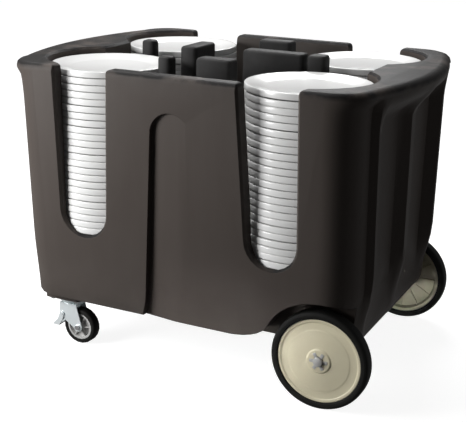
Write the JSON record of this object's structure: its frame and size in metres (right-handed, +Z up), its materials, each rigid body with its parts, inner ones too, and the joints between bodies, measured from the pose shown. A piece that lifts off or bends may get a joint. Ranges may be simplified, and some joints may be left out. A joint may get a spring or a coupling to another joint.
{
  "type": "plate dispenser cart",
  "caption": "Moulded black tub cart with open slotted wells for plate stacks, lift-out dividers, big fixed wheels at one end and braked swivel casters at the other.",
  "frame": {"origin": "on the floor, under the centre of the tub", "axes": "+X towards the big-wheel end, +Y towards the right-hand side, +Z up"},
  "size_m": [1.08, 0.773, 0.812],
  "materials": {
    "body_polyethylene": "rotomoulded polyethylene, brownish black, fine satin grain",
    "divider_plastic": "black moulded plastic, satin",
    "plate_china": "white glazed china",
    "wheel_cream": "aged cream plastic",
    "tyre_rubber": "smooth black rubber",
    "caster_rubber": "smooth black rubber",
    "hub_grey": "grey plastic",
    "bush_plastic": "dark bearing plastic",
    "zinc_plate": "bright zinc-plated pressed steel",
    "bolt_steel": "plain bright steel"
  },
  "bodies": {
    "tub": {"body_shell": "body_polyethylene", "rear_axle": "bolt_steel", "wheel_washer_left": "zinc_plate", "axle_cap_left": "hub_grey", "axle_hanger_left": "zinc_plate", "hanger_bolt_left_front": "bolt_steel", "hanger_bolt_left_rear": "bolt_steel", "caster_left_plate": "zinc_plate", "caster_left_race": "zinc_plate", "caster_left_kingpin": "bolt_steel", "caster_left_bolt_1": "bolt_steel", "caster_left_bolt_2": "bolt_steel", "caster_left_bolt_3": "bolt_steel", "caster_left_bolt_4": "bolt_steel", "wheel_washer_right": "zinc_plate", "axle_cap_right": "hub_grey", "axle_hanger_right": "zinc_plate", "hanger_bolt_right_front": "bolt_steel", "hanger_bolt_right_rear": "bolt_steel", "caster_right_plate": "zinc_plate", "caster_right_race": "zinc_plate", "caster_right_kingpin": "bolt_steel", "caster_right_bolt_1": "bolt_steel", "caster_right_bolt_2": "bolt_steel", "caster_right_bolt_3": "bolt_steel", "caster_right_bolt_4": "bolt_steel"},
    "divider_centre_front": {"divider_centre_front": "divider_plastic"},
    "divider_centre_rear": {"divider_centre_rear": "divider_plastic"},
    "divider_side_left": {"divider_side_left": "divider_plastic"},
    "divider_side_right": {"divider_side_right": "divider_plastic"},
    "divider_end_front": {"divider_end_front": "divider_plastic"},
    "divider_end_rear": {"divider_end_rear": "divider_plastic"},
    "divider_corner_left": {"divider_corner_left": "divider_plastic"},
    "plate_stack_front_left": {"plate_stack_front_left": "plate_china"},
    "plate_stack_front_right": {"plate_stack_front_right": "plate_china"},
    "plate_stack_rear_left": {"plate_stack_rear_left": "plate_china"},
    "plate_stack_rear_right": {"plate_stack_rear_right": "plate_china"},
    "big_wheel_left": {"wheel_disc_left": "wheel_cream", "wheel_tyre_left": "tyre_rubber", "wheel_bush_left": "bush_plastic"},
    "caster_left_swivel": {"caster_left_fork": "zinc_plate", "caster_left_axle_bolt": "bolt_steel", "caster_left_axle_nut": "bolt_steel"},
    "caster_left_wheel": {"caster_left_wheel_core": "hub_grey", "caster_left_tread": "caster_rubber"},
    "caster_left_pedal": {"caster_left_brake_pedal": "zinc_plate"},
    "big_wheel_right": {"wheel_disc_right": "wheel_cream", "wheel_tyre_right": "tyre_rubber", "wheel_bush_right": "bush_plastic"},
    "caster_right_swivel": {"caster_right_fork": "zinc_plate", "caster_right_axle_bolt": "bolt_steel", "caster_right_axle_nut": "bolt_steel"},
    "caster_right_wheel": {"caster_right_wheel_core": "hub_grey", "caster_right_tread": "caster_rubber"},
    "caster_right_pedal": {"caster_right_brake_pedal": "zinc_plate"}
  },
  "joints": [
    {"name": "big_wheel_left_spin", "type": "hinge", "parent": "tub", "child": "big_wheel_left", "pos_m": [0.3936, -0.33, 0.127], "axis": [0, 1, 0], "continuous": true},
    {"name": "caster_left_turn", "type": "hinge", "parent": "tub", "child": "caster_left_swivel", "pos_m": [-0.37, -0.285, 0.125], "axis": [0, 0, 1], "continuous": true},
    {"name": "caster_left_spin", "type": "hinge", "parent": "caster_left_swivel", "child": "caster_left_wheel", "pos_m": [-0.336, -0.285, 0.05], "axis": [0, 1, 0], "continuous": true},
    {"name": "caster_left_brake", "type": "hinge", "parent": "caster_left_swivel", "child": "caster_left_pedal", "pos_m": [-0.386, -0.285, 0.082], "axis": [0, -1, 0], "range_deg": [0, 8]},
    {"name": "big_wheel_right_spin", "type": "hinge", "parent": "tub", "child": "big_wheel_right", "pos_m": [0.3936, 0.33, 0.127], "axis": [0, 1, 0], "continuous": true},
    {"name": "caster_right_turn", "type": "hinge", "parent": "tub", "child": "caster_right_swivel", "pos_m": [-0.37, 0.285, 0.125], "axis": [0, 0, 1], "continuous": true},
    {"name": "caster_right_spin", "type": "hinge", "parent": "caster_right_swivel", "child": "caster_right_wheel", "pos_m": [-0.336, 0.285, 0.05], "axis": [0, 1, 0], "continuous": true},
    {"name": "caster_right_brake", "type": "hinge", "parent": "caster_right_swivel", "child": "caster_right_pedal", "pos_m": [-0.386, 0.285, 0.082], "axis": [0, -1, 0], "range_deg": [0, 8]},
    {"name": "divider_centre_front_lift", "type": "slide", "parent": "tub", "child": "divider_centre_front", "axis": [0, 0, 1], "range_m": [0, 0.5]},
    {"name": "divider_centre_rear_lift", "type": "slide", "parent": "tub", "child": "divider_centre_rear", "axis": [0, 0, 1], "range_m": [0, 0.5]},
    {"name": "divider_side_left_lift", "type": "slide", "parent": "tub", "child": "divider_side_left", "axis": [0, 0, 1], "range_m": [0, 0.5]},
    {"name": "divider_side_right_lift", "type": "slide", "parent": "tub", "child": "divider_side_right", "axis": [0, 0, 1], "range_m": [0, 0.5]},
    {"name": "divider_end_front_lift", "type": "slide", "parent": "tub", "child": "divider_end_front", "axis": [0, 0, 1], "range_m": [0, 0.5]},
    {"name": "divider_end_rear_lift", "type": "slide", "parent": "tub", "child": "divider_end_rear", "axis": [0, 0, 1], "range_m": [0, 0.5]},
    {"name": "divider_corner_left_lift", "type": "slide", "parent": "tub", "child": "divider_corner_left", "axis": [0, 0, 1], "range_m": [0, 0.5]},
    {"name": "plate_stack_front_left_lift", "type": "slide", "parent": "tub", "child": "plate_stack_front_left", "axis": [0, 0, 1], "range_m": [0, 0.45]},
    {"name": "plate_stack_front_right_lift", "type": "slide", "parent": "tub", "child": "plate_stack_front_right", "axis": [0, 0, 1], "range_m": [0, 0.45]},
    {"name": "plate_stack_rear_left_lift", "type": "slide", "parent": "tub", "child": "plate_stack_rear_left", "axis": [0, 0, 1], "range_m": [0, 0.45]},
    {"name": "plate_stack_rear_right_lift", "type": "slide", "parent": "tub", "child": "plate_stack_rear_right", "axis": [0, 0, 1], "range_m": [0, 0.45]}
  ]
}
